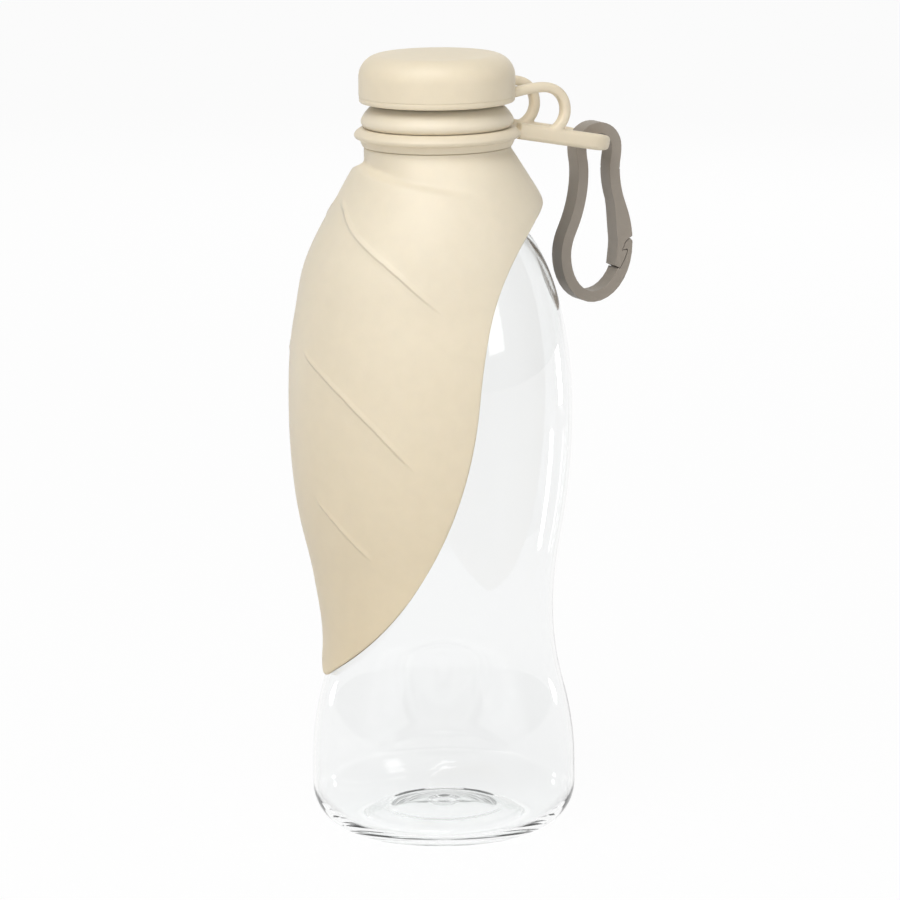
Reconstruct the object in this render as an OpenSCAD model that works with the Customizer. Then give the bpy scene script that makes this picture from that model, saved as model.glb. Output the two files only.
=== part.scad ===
// Dog travel water bottle: a clear waisted bottle, with a silicone leaf wrapped round it
// that folds out into a drinking bowl, a tethered stopper cap and a snap carabiner.
// Millimetres, +Z up. The origin is on the bottle's axis, in the plane it stands on.
// The tether with the carabiner lies over +X, and the leaf's midrib nearly opposite.

/* [Bottle] */
// Diameter of the foot at its widest
foot_d = 76; // [72:0.5:80]
// Height of the widest ring of the foot
foot_z = 19; // [16:0.5:24]
// Diameter of the waist
waist_d = 64; // [58:0.5:68]
// Height of the waist
waist_z = 63.5; // [56:0.5:72]
// Diameter of the upper belly
belly_d = 75.8; // [72:0.2:80]
// Height of the widest ring of the upper belly
belly_z = 123; // [116:0.5:130]
// Height of the shoulder, from the belly to the root of the neck
shoulder_h = 56; // [50:0.5:62]
// Radius of the heel that rounds the foot into the base
heel_r = 12.5; // [9:0.5:14]
// Width of the flat ring that the bottle stands on
land_w = 2; // [1:0.25:3]
// Height of the push-up in the base
punt_h = 5.8; // [3:0.2:8]
// Radius of the round gate mark in the middle of the push-up
gate_mark_r = 3.6; // [2:0.2:5]
// Radius of the step round the middle of the push-up
base_step_r = 15.4; // [12:0.2:18]
// Height of that step
base_step_h = 0.5; // [0.3:0.1:0.8]
// Wall of the blown body
wall = 1.2; // [0.8:0.1:2]

/* [Neck] */
// Outer diameter of the neck
neck_d = 31.2; // [30:0.2:32]
// Wall of the neck
neck_wall = 1.8; // [1.4:0.1:2.4]
// Height of the neck, from the shoulder to the rim
neck_h = 28; // [26:0.5:30]
// Height of the thread's crest over the neck
thread_h = 1.1; // [0.8:0.1:1.4]
// Length of the threaded stretch
thread_len = 15; // [12:0.5:16]
// Distance from the rim down to the thread
thread_lead = 2; // [1.5:0.25:3]
// Reach of the support ring over the neck
support_reach = 2.6; // [1.5:0.1:3]
// Thickness of the support ring
support_t = 1.6; // [1:0.1:2]

/* [Screw collar] */
// Wall of the collar's skirt
skirt_wall = 1.9; // [1.5:0.1:2.4]
// Gap between the skirt and the thread
skirt_gap = 0.25; // [0.2:0.05:0.4]
// Length of the skirt below the rim
skirt_h = 18.4; // [17:0.2:19]
// Thickness of the gasket under the collar's plate
gasket_t = 1.2; // [0.8:0.1:2]
// Thickness of the collar's plate
plate_t = 1.6; // [1.2:0.1:2.2]
// Bore of the spout
spout_d = 25; // [22:0.2:26]
// Wall of the spout
spout_wall = 2.7; // [2:0.1:3]
// Height of the spout above the plate
spout_h = 6.2; // [5:0.1:7]

/* [Leaf] */
// Wall of the leaf at its root
leaf_wall = 2; // [1.4:0.1:2.4]
// Wall of the leaf at its tip and along its margin
leaf_edge_wall = 1.3; // [1:0.1:1.8]
// Gap between the leaf's margin and the bottle
leaf_gap = 1.1; // [0.5:0.1:1.6]
// Gap between the leaf's tip and the bottle
tip_gap = 0.5; // [0.4:0.1:1.2]
// Height of the leaf's tip
leaf_tip_z = 46.7; // [42:0.1:54]
// Half of the angle that the leaf covers at mid-height
leaf_half_angle = 91; // [76:1:96]
// Angle that the midrib is turned away from the side opposite the tether
leaf_turn = 11; // [0:1:20]
// How far the midrib stands off the lower body
midrib_lift = 2.5; // [2:0.1:5]
// How much further it stands off where it bridges the shoulder
shoulder_lift = 1; // [0:0.1:3]
// Diameter of the leaf's shoulder ridge
ridge_d = 60.6; // [58:0.2:64]
// Wall of the leaf's neck inside the groove that holds the tether ring
groove_wall = 1; // [0.8:0.1:1.4]
// Depth of that groove
groove_in = 1.2; // [0.9:0.1:1.6]
// Height of the groove
groove_h = 5.6; // [4.6:0.1:7]
// Reach of the bead over the groove
bead_reach = 1.8; // [1.4:0.1:2.4]
// Height of the bead
bead_h = 6.5; // [5:0.1:8]
// Thickness of the lip that the leaf's neck lays over the collar's plate
lip_t = 0.6; // [0.5:0.1:1]

/* [Tether] */
// Thickness of the ring over its bead
ring_t = 3.5; // [2.8:0.1:4.2]
// Distance from the bottle's axis to the end of the tab
tab_reach = 52.4; // [50:0.2:56]
// Width of the tab over its two rails
tab_w = 22.6; // [21.6:0.2:24]
// Width of each rail
rail_w = 3.6; // [2.8:0.1:4.2]
// Thickness of the tab
tab_t = 4.7; // [4:0.1:5.4]
// Radius of the tab's end corners
tab_corner = 7.6; // [5:0.2:7.8]
// Angle that the tab droops
tab_drop = 11; // [6:1:16]
// Distance from the axis to the slot
slot_start = 27; // [25.5:0.5:30]
// Diameter of the bar that carries the carabiner
bar_d = 4.2; // [3.6:0.1:5]
// Thickness of a strap
strap_t = 2.9; // [2.4:0.1:3.4]
// Width of a strap
strap_w = 3.4; // [2.8:0.1:3.8]
// Distance from the axis to the far side of the straps' loops
loop_reach = 37.3; // [36:0.1:38.6]
// Height of the loops above the cap's lower edge
loop_rise = 4.7; // [4:0.1:5.5]

/* [Cap] */
// Diameter of the cap
cap_d = 44.4; // [44:0.2:48]
// Height of the cap
cap_h = 14.1; // [13:0.1:16]
// Radius of the cap's top edge
cap_edge = 6.4; // [4:0.2:8]
// Rise of the cap's crown
crown_h = 0.6; // [0.2:0.1:1.2]
// Wall of the soft shell
shell_wall = 2.1; // [1.6:0.1:2.6]
// Wall of the cap's hard core
core_wall = 1.5; // [1.2:0.1:1.8]
// Thickness of the washer on the spout's rim
seal_t = 1.5; // [1:0.1:2]
// Depth of the stopper in the spout
stopper_h = 4; // [3:0.25:4.5]
// How much the stopper tapers on its radius
stopper_taper = 1.4; // [1.3:0.1:2]

/* [Carabiner] */
// Length of the carabiner
biner_len = 52.2; // [49:0.2:56]
// Width over its bow
bow_w = 23.3; // [21.5:0.1:25]
// Width over its neck
biner_neck_w = 13.4; // [13:0.1:14.2]
// Width over its head
head_w = 14.6; // [14.2:0.1:15.6]
// Thickness of the frame in its plane
frame_t = 3.2; // [2.8:0.1:3.6]
// Depth of the frame
frame_depth = 6; // [4.5:0.25:7]
// Distance from the head's top down to the gate's root
gate_root = 14.8; // [14:0.2:16]
// Distance from the head's top down to the latch
latch_drop = 37.8; // [37:0.1:38.6]
// Height of the latch, from its notch down to the gate's tail
latch_h = 8.7; // [8.2:0.1:9.2]

/* [Fits] */
// Gap of a part that turns on another
running = 0.2; // [0.1:0.05:0.3]
// Gap between pieces that are pressed or moulded together
seat = 0.05; // [0.02:0.01:0.1]
// Gap round the gate and its latch
gate_gap = 0.25; // [0.2:0.05:0.35]

/* [Hidden] */

$fn = 96;
eps = 0.01;

soft = "#e2d6bf";
hard = "#efece4";
clear = [0.86, 0.9, 0.91, 0.35];
taupe = "#8d837a";

// A curve from 0 to 1 that is flat at both ends, made of two parabolas that meet at t = k.
function s_curve(t, k) = t < k ? t * t / k : 1 - (1 - t) * (1 - t) / (1 - k);

// The smooth step from 0 at a to 1 at b.
function step_up(a, b, x) = let (t = max(0, min(1, (x - a) / (b - a)))) t * t * (3 - 2 * t);

// A cubic from value p to value q over length h, with slopes m and n at its ends.
function blend(t, h, p, m, q, n) =
    (2 * t * t * t - 3 * t * t + 1) * p + (t * t * t - 2 * t * t + t) * h * m
    + (3 * t * t - 2 * t * t * t) * q + (t * t * t - t * t) * h * n;

// A point of the cubic Bezier curve through the four control points.
function bezier(p, t) =
    pow(1 - t, 3) * p[0] + 3 * t * pow(1 - t, 2) * p[1] + 3 * t * t * (1 - t) * p[2] + pow(t, 3) * p[3];

function reversed(p) = [for (i = [len(p) - 1:-1:0]) p[i]];

// Heights that stack up from the bottle
shoulder_z = belly_z + shoulder_h;
rim_z = shoulder_z + neck_h;
plate_z = rim_z + gasket_t;
plate_top = plate_z + plate_t;
spout_top = plate_top + spout_h;

neck_r = neck_d / 2;
bore_r = neck_r - neck_wall;
spout_r = spout_d / 2 + spout_wall;
thread_r = neck_r + thread_h;
skirt_in = thread_r + skirt_gap;
skirt_r = skirt_in + skirt_wall;
plate_edge = 1.5;

// Bottle

foot_steps = 14;
belly_steps = 18;
shoulder_steps = 18;
foot_bend = 0.5;
belly_bend = 0.36;

// Outer radius of the bottle between its foot and the root of its neck
function bottle_r(z) =
    z < foot_z ? foot_d / 2
    : z < waist_z ? foot_d / 2 + (waist_d - foot_d) / 2
        * s_curve((z - foot_z) / (waist_z - foot_z), foot_bend)
    : z < belly_z ? waist_d / 2 + (belly_d - waist_d) / 2
        * s_curve((z - waist_z) / (belly_z - waist_z), belly_bend)
    : neck_r + (belly_d / 2 - neck_r)
        * sqrt(max(0, 1 - pow((z - belly_z) / shoulder_h, 2)));

// The body's side from the foot to the belly, drawn in by the wall g
function side_points(g) = [
    for (i = [0:foot_steps]) let (z = foot_z + (waist_z - foot_z) * i / foot_steps)
        [bottle_r(z) - g, z],
    for (i = [1:belly_steps]) let (z = waist_z + (belly_z - waist_z) * i / belly_steps)
        [bottle_r(z) - g, z]];

// The shoulder is a quarter of an ellipse from the belly to the neck's radius
function shoulder_points(top_r, g) = [
    for (i = [1:shoulder_steps]) let (a = 90 * i / shoulder_steps)
        [top_r + (belly_d / 2 - g - top_r) * cos(a), belly_z + shoulder_h * sin(a)]];

function heel_points(r) = [
    for (a = [-90:10:0]) [foot_d / 2 - heel_r + r * cos(a), heel_r + r * sin(a)]];

punt_r = foot_d / 2 - heel_r - land_w;
mark_drop = 0.6;

// Height of the push-up's underside at radius r, a shallow dome with a step round its middle
function punt_z(r, step) = punt_h * (1 - pow(r / punt_r, 2)) + step * base_step_h;

// The push-up from the axis outwards, with the gate mark as a small step down at its top
function punt_points(g) = [
    [0, punt_h - mark_drop + g],
    [gate_mark_r, punt_h - mark_drop + g],
    for (i = [0:3]) let (r = gate_mark_r + (base_step_r - gate_mark_r) * i / 3) [r, punt_z(r, 0) + g],
    for (i = [0:3]) let (r = base_step_r + 0.4 + (punt_r - 1.6 - base_step_r) * i / 3)
        [r, punt_z(r, 1) + g],
    [punt_r, g]];

module bottle() {
    support_z = shoulder_z + 0.16 * neck_h;
    thread_top = rim_z - thread_lead;
    thread_foot = thread_top - thread_len;
    outside = concat(
        punt_points(0),
        heel_points(heel_r),
        side_points(0),
        shoulder_points(neck_r, 0),
        [[neck_r, support_z],
         [neck_r + support_reach, support_z + support_reach / 4],
         [neck_r + support_reach, support_z + support_reach / 4 + support_t],
         [neck_r, support_z + support_reach / 4 + support_t],
         [neck_r, thread_foot - thread_h],
         [thread_r, thread_foot],
         [thread_r, thread_top],
         [neck_r, thread_top + thread_h],
         [neck_r, rim_z]]);
    inside = concat(
        punt_points(wall),
        heel_points(heel_r - wall),
        side_points(wall),
        shoulder_points(bore_r, wall),
        [[bore_r, rim_z]]);
    color(clear) rotate_extrude() polygon(concat(outside, reversed(inside)));
}

// Screw collar

module screw_collar() {
    color(hard) rotate_extrude() polygon([
        [spout_d / 2, plate_z],
        [skirt_in, plate_z],
        [skirt_in, rim_z - skirt_h],
        [skirt_r, rim_z - skirt_h],
        [skirt_r, plate_top - plate_edge],
        [skirt_r - plate_edge, plate_top],
        [spout_r, plate_top],
        [spout_r, spout_top],
        [spout_d / 2 + 0.6, spout_top],
        [spout_d / 2, spout_top - 0.6]]);
}

module mouth_gasket() {
    color(soft) rotate_extrude()
        translate([bore_r, rim_z]) square([thread_r - bore_r, gasket_t]);
}

// Leaf

groove_r = skirt_r + seat + groove_wall;
leaf_neck_r = groove_r + groove_in;
bead_r = groove_r + bead_reach;
lip_z = plate_top + lip_t;
bead_foot = lip_z - bead_h;
groove_foot = bead_foot - groove_h;
leaf_neck_z = groove_foot - groove_in;
ridge_z = shoulder_z + neck_h / 14;
wrap_z = belly_z + 0.48 * shoulder_h;
leaf_back_z = ridge_z + neck_h / 8;

// Slopes of the leaf's side where it leaves the neck, passes the ridge and meets the body
neck_slope = 0.66;
ridge_slope = 0.5;
wrap_slope = (bottle_r(wrap_z - 1) - bottle_r(wrap_z + 1)) / 2;

leaf_rows = 17;
leaf_columns = 36;

// How far along the leaf a height is, 0 at the tip and 1 where the leaf closes round the neck
function leaf_share(z) = (z - leaf_tip_z) / (leaf_back_z - leaf_tip_z);

// Outer radius of the leaf away from its midrib: it hugs the body, and runs straight from
// the upper belly over the ridge to the neck
function leaf_side_r(z) =
    z > ridge_z ? blend(max(0, (leaf_neck_z - z) / (leaf_neck_z - ridge_z)), leaf_neck_z - ridge_z,
        leaf_neck_r, neck_slope, ridge_d / 2, ridge_slope)
    : z > wrap_z ? blend((ridge_z - z) / (ridge_z - wrap_z), ridge_z - wrap_z,
        ridge_d / 2, ridge_slope, bottle_r(wrap_z) + leaf_gap + leaf_wall, wrap_slope)
    : bottle_r(z) + tip_gap + leaf_edge_wall
        + (leaf_gap - tip_gap + leaf_wall - leaf_edge_wall) * step_up(0, 0.2, leaf_share(z));

// How far the midrib stands off that side
function midrib_rise(z) =
    (midrib_lift * step_up(0, 0.38, leaf_share(z))
        + shoulder_lift * step_up(0.55, 0.8, leaf_share(z)))
    * (1 - step_up(0.82, 1, leaf_share(z)));

// Outer radius of the leaf at height z and at angle a from the midrib
function leaf_r(z, a) = leaf_side_r(z) + midrib_rise(z) * pow(max(0, cos(a)), 2);

// The margin runs from the blunt tip up along the body and round to the back of the neck.
// Its control points are angles from the midrib and shares of the leaf's height.
tip_angle = 2.5;
back_angle = 179;
margin_low = [[tip_angle, 0], [0.385 * leaf_half_angle, 0.07], [0.89 * leaf_half_angle, 0.18],
              [leaf_half_angle, 0.604]];
margin_high = [[leaf_half_angle, 0.604], [1.078 * leaf_half_angle, 0.924], [1.392 * leaf_half_angle, 0.968],
               [back_angle, 1]];

margin = [
    for (i = [0:leaf_rows]) bezier(margin_low, i / leaf_rows),
    for (i = [1:leaf_rows]) bezier(margin_high, i / leaf_rows)];

// The wall thins to the edge wall along the margin
function leaf_wall_at(u, share) =
    let (body = leaf_edge_wall + (leaf_wall - leaf_edge_wall) * step_up(0, 0.2, share))
    body + (leaf_edge_wall - body) * step_up(0.86, 1, abs(u)) * (1 - step_up(0.9, 1, share));

// One sheet of the leaf: inner = 0 gives its outer face, and inner = 1 its inner face
function leaf_sheet(inner) = [
    for (m = margin) let (z = leaf_tip_z + m[1] * (leaf_back_z - leaf_tip_z))
        for (j = [0:leaf_columns])
            let (u = 2 * j / leaf_columns - 1, a = u * m[0],
                 r = leaf_r(z, a) - inner * leaf_wall_at(u, m[1]))
            [-r * cos(a), r * sin(a), z]];

module leaf_blade() {
    points = concat(leaf_sheet(0), leaf_sheet(1));
    rows = len(margin) - 1;
    wide = leaf_columns + 1;
    inner = wide * (rows + 1);
    faces = [
        for (i = [0:rows - 1]) for (j = [0:leaf_columns - 1])
            let (a = i * wide + j, b = a + 1, c = a + wide + 1, d = a + wide)
            each [[a, d, b], [b, d, c],
                  [inner + a, inner + b, inner + d], [inner + b, inner + c, inner + d]],
        for (i = [0:rows - 1])
            let (a = i * wide, b = a + wide, c = a + leaf_columns, d = b + leaf_columns)
            each [[a, inner + a, b], [b, inner + a, inner + b],
                  [c, d, inner + c], [d, inner + d, inner + c]],
        for (j = [0:leaf_columns - 1]) let (a = j, b = j + 1, c = rows * wide + j, d = c + 1)
            each [[a, b, inner + a], [b, inner + b, inner + a],
                  [c, inner + c, d], [d, inner + c, inner + d]]];
    color(soft) rotate([0, 0, -leaf_turn]) polyhedron(points, faces);
}

// The bead's outline from its foot to the lip: shares of the way in from its widest ring to
// the spout, and of its height
bead_shape = [[0.26, 0], [0.07, 0.1], [0, 0.26], [0.06, 0.43], [0.2, 0.6], [0.42, 0.78],
              [0.72, 0.94], [0.92, 1]];

module leaf_collar() {
    flare = [for (i = [0:8]) let (z = leaf_back_z + (leaf_neck_z - leaf_back_z) * i / 8)
        [leaf_r(z, 180), z]];
    lining = [for (p = flare) if (p[0] - leaf_wall > skirt_r + seat) [p[0] - leaf_wall, p[1]]];
    spout_clear = 1.1 * spout_r;
    bead = [for (p = bead_shape)
        [bead_r - p[0] * (bead_r - spout_clear), bead_foot + p[1] * bead_h]];
    outside = concat(
        flare,
        [[leaf_neck_r + groove_in / 2, groove_foot],
         [groove_r, groove_foot],
         [groove_r, bead_foot]],
        bead,
        [[spout_clear, lip_z],
         [spout_clear, plate_top],
         [skirt_r - plate_edge, plate_top],
         [skirt_r + seat, plate_top - plate_edge - seat],
         [skirt_r + seat, lining[len(lining) - 1][1]]]);
    color(soft) rotate_extrude() polygon(concat(outside, reversed(lining)));
}

// Tether: the ring, its drooping tab with the slot and bar, and the two straps to the cap

ring_in = groove_r + running;
ring_r = ring_in + ring_t;
ring_foot = groove_foot + running;
ring_top = bead_foot - running;
ring_h = ring_top - ring_foot;
tab_root = [ring_in, ring_top - 0.29 * tab_t];
bar_x = tab_reach - bar_d / 2;
bar_z = tab_root[1] - (bar_x - tab_root[0]) * tan(tab_drop);

// The ring's section from its foot over the rounded bead to its top, as shares of its
// thickness and height
ring_shape = [[0, 0], [0.45, 0], [0.63, 0.1], [0.66, 0.26], [0.74, 0.34], [0.96, 0.46],
              [1, 0.6], [0.91, 0.76], [0.69, 0.91], [0.37, 1], [0, 1]];

// A rectangle from x0 to x1 of width w, with its corners at x1 rounded
module rounded_end(x0, x1, w, r) {
    translate([x0, -w / 2]) square([x1 - r - x0, w]);
    translate([x0, -w / 2 + r]) square([x1 - x0, w - 2 * r]);
    for (side = [-1, 1]) translate([x1 - r, side * (w / 2 - r)]) circle(r);
}

// Moves a child drawn flat, with x measured from the axis, into the drooping tab's plane
module in_tab_plane() {
    translate([tab_root[0], 0, tab_root[1]]) rotate([0, tab_drop, 0])
        translate([-tab_root[0], 0, 0]) children();
}

module tether_ring() {
    slope = cos(tab_drop);
    tab_end = tab_root[0] + (tab_reach - tab_root[0]) / slope;
    bar_at = tab_root[0] + (bar_x - tab_root[0]) / slope;
    slot_end = tab_end - rail_w - 0.3 * bar_d;
    notch_w = tab_w - 2 * tab_corner;
    color(soft) {
        difference() {
            union() {
                rotate_extrude() polygon(
                    [for (p = ring_shape) [ring_in + p[0] * ring_t, ring_foot + p[1] * ring_h]]);
                in_tab_plane() difference() {
                    translate([0, 0, -tab_t / 2]) linear_extrude(tab_t)
                        rounded_end(ring_in, tab_end, tab_w, tab_corner);
                    translate([0, 0, -tab_t]) linear_extrude(2 * tab_t)
                        rounded_end(slot_start, slot_end, tab_w - 2 * rail_w,
                                    tab_corner - rail_w);
                    translate([slot_end - tab_t / 2, -notch_w / 2, -tab_t])
                        cube([tab_reach, notch_w, 2 * tab_t]);
                }
            }
            cylinder(r = ring_in, h = 2 * rim_z);
            translate([0, 0, ring_top]) cylinder(r = bead_r + 1.5 * running, h = cap_h);
        }
        in_tab_plane() translate([bar_at, 0, 0]) rotate([90, 0, 0])
            cylinder(d = bar_d, h = notch_w + rail_w / 4, center = true);
    }
}

strap_y = (tab_w - rail_w) / 2;
cap_z = lip_z + 2.5 * running;
loop_w = loop_reach - cap_d / 2;
loop_top = cap_z + loop_rise;
loop_in = loop_reach - 0.93 * strap_t;
foot_x = loop_reach - 0.39 * loop_w;
foot_top = tab_root[1] + tab_t / 2 - (foot_x - tab_root[0]) * tan(tab_drop);

function curve(p) = [for (t = [0:0.125:1]) bezier(p, t)];

// A point in the loops' side view, in shares of how far they stand out: how far outside the
// cap, and how far below their tops
function out_down(a, b) = [cap_d / 2 + a * loop_w, loop_top - b * loop_w];

// The same point on the strap's underside
function under(a, b) = out_down(a, b) - [0, strap_t];

// The side view of a strap: out of the cap's side, round the loop and back down to the rail
strap_outline = concat(
    curve([out_down(-0.41, 0.066), out_down(-0.146, 0.027), out_down(0.185, 0), out_down(0.384, 0)]),
    curve([out_down(0.384, 0), out_down(0.723, 0), out_down(1, 0.24), out_down(1, 0.55)]),
    curve([out_down(1, 0.55), out_down(1, 0.68), out_down(0.973, 0.834),
           [loop_reach - 0.08 * loop_w, foot_top - 0.53 * tab_t]]),
    curve([[foot_x, foot_top], [foot_x + 0.16 * loop_w, foot_top + 0.066 * loop_w],
           [loop_in, loop_top - 0.695 * loop_w], [loop_in, loop_top - 0.53 * loop_w]]),
    curve([[loop_in, loop_top - 0.53 * loop_w], [loop_in, loop_top - 0.33 * loop_w],
           under(0.669, 0), under(0.45, 0)]),
    curve([under(0.45, 0), under(0.185, 0), under(-0.146, 0.04), under(-0.41, 0.086)]));

// The strap stands on its rail with a flat foot, and ends just short of the cap
module strap(side) {
    color(soft) difference() {
        translate([0, side * strap_y, 0]) rotate([90, 0, 0])
            linear_extrude(strap_w, center = true) polygon(strap_outline);
        cylinder(d = cap_d + 3 * running, h = 2 * rim_z);
        in_tab_plane() translate([0, -tab_w, -4 * tab_t])
            cube([2 * tab_reach, 2 * tab_w, 4.5 * tab_t]);
    }
}

module strap_front() { strap(-1); }
module strap_rear() { strap(1); }

// Cap

cap_r = cap_d / 2;
cap_top = cap_z + cap_h;
core_r = cap_r - shell_wall;
core_in = core_r - seat - core_wall;
core_top = cap_top - crown_h - shell_wall;
seal_top = spout_top + seal_t;
roof_z = core_top - core_wall;

module cap_shell() {
    edge = [for (a = [0:10:90])
        [cap_r - cap_edge + cap_edge * cos(a), cap_top - crown_h - cap_edge + cap_edge * sin(a)]];
    color(soft) rotate_extrude() polygon(concat(
        [[core_r, cap_z],
         [cap_r - 0.7, cap_z],
         [cap_r, cap_z + 0.7]],
        edge,
        [[(cap_r - cap_edge) / 2, cap_top - crown_h / 4],
         [0, cap_top],
         [0, core_top],
         [core_r, core_top]]));
}

module cap_core() {
    stopper_r = spout_d / 2 - 0.15;
    color(hard) rotate_extrude() polygon([
        [0, roof_z],
        [stopper_r - stopper_taper - core_wall, roof_z],
        [stopper_r - stopper_taper - core_wall, spout_top - stopper_h],
        [stopper_r - stopper_taper, spout_top - stopper_h],
        [stopper_r, spout_top],
        [stopper_r, seal_top],
        [spout_r + 0.2, seal_top],
        [spout_r + 0.2, roof_z],
        [core_in, roof_z],
        [core_in, cap_z + 0.7],
        [core_r - seat, cap_z + 0.7],
        [core_r - seat, core_top],
        [0, core_top]]);
}

module cap_seal() {
    color(soft) rotate_extrude()
        translate([spout_d / 2, spout_top]) square([spout_wall, seal_t]);
}

// Carabiner: a pear-shaped frame, hung by its head from the tab's bar, and its sprung gate.
// Its bow leans to the spine's side, so the gate's side runs straighter.

half_t = frame_t / 2;
head_r = (head_w - frame_t) / 2;
neck_half = (biner_neck_w - frame_t) / 2;
bow_lean = 0.0343 * bow_w;
spine_x = (bow_w - frame_t) / 2 + bow_lean;
gate_x = (bow_w - frame_t) / 2 - bow_lean;
bow_x = -0.0815 * bow_w;
head_top = bar_z + bar_d / 2 + running + frame_t;
head_z = head_top - half_t - head_r;
bow_foot = head_top - biner_len + half_t;
spine_z = bow_foot + 0.532 * bow_w;
gate_z = bow_foot + 0.64 * bow_w;
pinch_z = head_top - 0.96 * head_w;
latch_z = head_top - latch_drop;
latch_unit = latch_h / 8.7;
root = [neck_half, head_top - gate_root];

// One side of the frame's centre line between the neck and the bow, x from the frame's axis
function side_curve(x, z, k) = [
    for (i = [0:16]) [neck_half + (x - neck_half) * s_curve(i / 16, k),
                      pinch_z + (z - pinch_z) * i / 16]];

function neck_curve() = [
    for (i = [1:6]) [head_r + (neck_half - head_r) * s_curve(i / 7, 0.5),
                     head_z + (pinch_z - head_z) * i / 7]];

function flipped(p) = [for (q = reversed(p)) [-q[0], q[1]]];

// The frame's centre line, clockwise from the left end of the head's arc
centre_line = concat(
    [for (a = [180:-10:0]) [head_r * cos(a), head_z + head_r * sin(a)]],
    neck_curve(),
    side_curve(gate_x, gate_z, 0.5),
    [for (a = [-10:-10:-90]) [bow_x + (gate_x - bow_x) * cos(a), gate_z + (gate_z - bow_foot) * sin(a)]],
    [for (a = [-100:-10:-170])
        [bow_x + (spine_x + bow_x) * cos(a), spine_z + (spine_z - bow_foot) * sin(a)]],
    flipped(side_curve(spine_x, spine_z, 0.71)),
    flipped(neck_curve()));

// The centre line moved outwards by g, square to itself
module frame_outline(g) {
    n = len(centre_line);
    polygon([for (i = [0:n - 1])
        let (d = centre_line[(i + 1) % n] - centre_line[(i + n - 1) % n])
        centre_line[i] + g / norm(d) * [-d[1], d[0]]]);
}

// The gate's side of the latch, drawn out by gap. The frame's barb points inwards into the
// gate's pocket, and the gate's tail lies behind the frame's hook.
module gate_zone(gap) {
    g = gap / latch_unit;
    high = (root[1] - latch_z) / latch_unit;
    translate([0, latch_z]) scale(latch_unit) polygon([
        [3, high],
        [bow_w, high],
        [bow_w, 3.5 - g],
        [10, 3.5 - g],
        [8.9 + 0.7 * g, 2.7 - 0.7 * g],
        [8.3 + g, 2 - 0.5 * g],
        [8 + g, 1],
        [7.4 + g, g],
        [9 + g, 0.25 + g],
        [9.2 + g, -0.2],
        [8.9 + 1.1 * g, -1.2],
        [7.9 + 1.2 * g, -3.3],
        [6.7 + 0.35 * g, -5.2 - 1.3 * g],
        [5.3, -4.45 - 1.1 * g],
        [3, -3.2 - 1.1 * g]]);
}

// The gate is thicker towards its latch
module gate_pad() {
    translate([0, latch_z]) scale(latch_unit) polygon(concat(
        curve([[4.9, 14.6], [5.6, 10.6], [5.5, 7], [5.95, 3.5]]),
        curve([[5.95, 3.5], [6.1, 1], [5.6, -1.6], [5.3, -4.45]]),
        [[6.7, -5.2],
         [7.9, -2],
         [8.4, 2],
         [8, 8],
         [6, 14.6]]));
}

// The small notch that shows where the gate meets the hook
module latch_notch() {
    translate([0, latch_z]) scale(latch_unit) polygon([[10, 3.5], [12.4, 5.2], [12.4, 0.9]]);
}

module biner_plate(depth) {
    translate([bar_x, 0, 0]) rotate([90, 0, 0])
        linear_extrude(depth, center = true) children();
}

module biner_ring() {
    biner_plate(frame_depth) difference() {
        frame_outline(half_t);
        frame_outline(-half_t);
    }
}

// The gate turns on a round knuckle at its root
module knuckle(r) {
    translate([bar_x + root[0], 0, root[1]]) rotate([90, 0, 0])
        cylinder(r = r, h = 2 * frame_depth, center = true);
}

knuckle_r = half_t + 0.15;

module carabiner_frame() {
    color(taupe) difference() {
        biner_ring();
        biner_plate(2 * frame_depth) gate_zone(gate_gap / 2);
        biner_plate(2 * frame_depth) latch_notch();
        knuckle(knuckle_r + gate_gap);
    }
}

module carabiner_gate() {
    color(taupe) union() {
        difference() {
            intersection() {
                union() {
                    biner_ring();
                    biner_plate(frame_depth) gate_pad();
                }
                biner_plate(2 * frame_depth) gate_zone(-gate_gap / 2);
            }
            biner_plate(2 * frame_depth) latch_notch();
        }
        intersection() {
            biner_ring();
            knuckle(knuckle_r);
        }
    }
}

bottle();
screw_collar();
mouth_gasket();
leaf_collar();
leaf_blade();
tether_ring();
strap_front();
strap_rear();
cap_shell();
cap_core();
cap_seal();
carabiner_frame();
carabiner_gate();
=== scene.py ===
# A dog travel water bottle: a clear waisted bottle wrapped in a silicone leaf that folds out
# into a drinking bowl, with a tethered stopper cap and a snap carabiner.
import math

import bmesh
import bpy
import numpy as np
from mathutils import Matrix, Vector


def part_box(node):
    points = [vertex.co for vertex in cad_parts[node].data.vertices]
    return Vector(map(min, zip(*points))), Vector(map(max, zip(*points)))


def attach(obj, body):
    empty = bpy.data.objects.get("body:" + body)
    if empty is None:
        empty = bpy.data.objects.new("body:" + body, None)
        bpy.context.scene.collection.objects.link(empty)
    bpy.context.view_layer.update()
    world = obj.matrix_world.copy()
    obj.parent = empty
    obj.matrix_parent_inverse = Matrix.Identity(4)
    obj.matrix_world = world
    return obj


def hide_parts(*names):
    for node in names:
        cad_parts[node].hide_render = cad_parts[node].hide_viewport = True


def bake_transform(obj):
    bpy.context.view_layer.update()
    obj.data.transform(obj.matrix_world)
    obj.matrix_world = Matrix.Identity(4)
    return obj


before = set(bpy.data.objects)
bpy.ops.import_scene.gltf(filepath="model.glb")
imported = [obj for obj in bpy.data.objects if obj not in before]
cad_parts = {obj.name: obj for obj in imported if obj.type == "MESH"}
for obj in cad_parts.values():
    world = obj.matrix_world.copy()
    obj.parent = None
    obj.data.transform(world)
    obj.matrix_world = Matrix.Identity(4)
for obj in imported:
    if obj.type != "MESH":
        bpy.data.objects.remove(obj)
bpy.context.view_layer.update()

# The bottle
# It is blown from clear PET: a thin wall, a heavier pushed-up base with the round gate mark in
# its middle, a waist for the hand, and a moulded neck with a support ring and a screw thread.
MM = 0.001
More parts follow.
